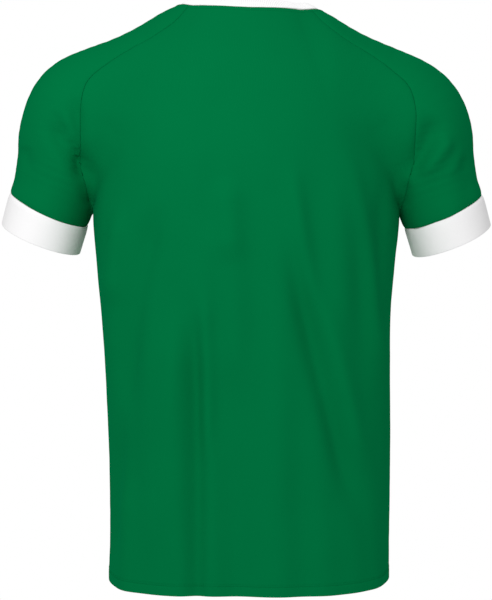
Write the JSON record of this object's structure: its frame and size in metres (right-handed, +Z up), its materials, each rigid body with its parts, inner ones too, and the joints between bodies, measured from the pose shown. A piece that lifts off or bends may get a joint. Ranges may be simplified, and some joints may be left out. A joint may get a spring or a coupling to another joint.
{
  "type": "football jersey",
  "caption": "Short-sleeved football jersey with raglan sleeves, contrasting cuffs and round neck rib, hollow and filled out as if worn.",
  "frame": {"origin": "midway between the two points where the neck meets the shoulders, where the wearer's shoulders carry the garment", "axes": "+Z up, +X towards the wearer's left, +Y towards the wearer's back, so the front faces -Y"},
  "size_m": [0.5994, 0.2484, 0.7145],
  "materials": {
    "green_knit": "fine polyester micro-mesh knit with a soft sheen",
    "white_knit": "fine polyester knit, two layers",
    "white_rib": "one-by-one ribbed knit"
  },
  "bodies": {
    "root": {"back_panel": "green_knit", "front_panel": "green_knit", "sleeve_left": "green_knit", "sleeve_right": "green_knit", "cuff_left": "white_knit", "cuff_right": "white_knit", "neck_rib": "white_rib"}
  },
  "joints": []
}
